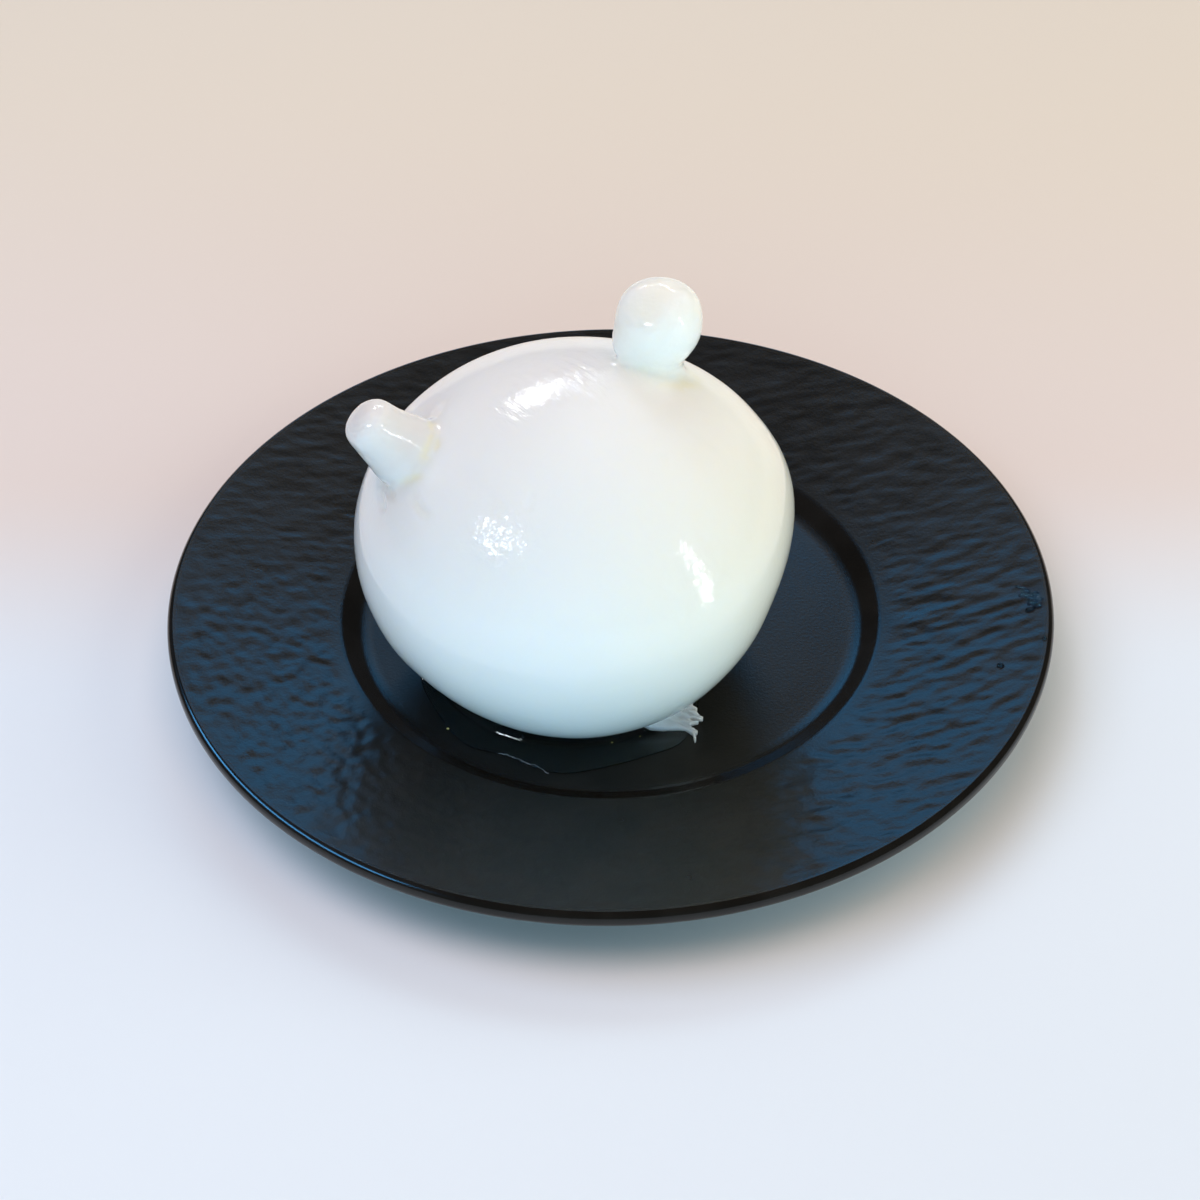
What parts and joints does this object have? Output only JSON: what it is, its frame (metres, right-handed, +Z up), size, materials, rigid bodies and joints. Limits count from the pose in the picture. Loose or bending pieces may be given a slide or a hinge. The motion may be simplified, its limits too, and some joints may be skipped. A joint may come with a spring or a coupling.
{
  "type": "buffalo mozzarella in a shallow dish",
  "caption": "Glossy white ball of buffalo mozzarella with pulled knobs and a torn flap, in a little whey on a shallow dark stoneware dish with a wide hammered rim.",
  "frame": {"origin": "on the table, under the middle of the dish's foot ring", "axes": "+Z up, -Y towards the viewer of the picture, +X to the viewer's right"},
  "size_m": [0.2212, 0.2212, 0.11],
  "materials": {
    "stoneware": "matte dark blue-black glaze, hammered relief on the rim",
    "cheese": "wet milky skin, slightly see-through at the edge",
    "whey": "clear thin liquid"
  },
  "bodies": {
    "root": {"dish": "stoneware", "mozzarella": "cheese", "whey": "whey"}
  },
  "joints": []
}
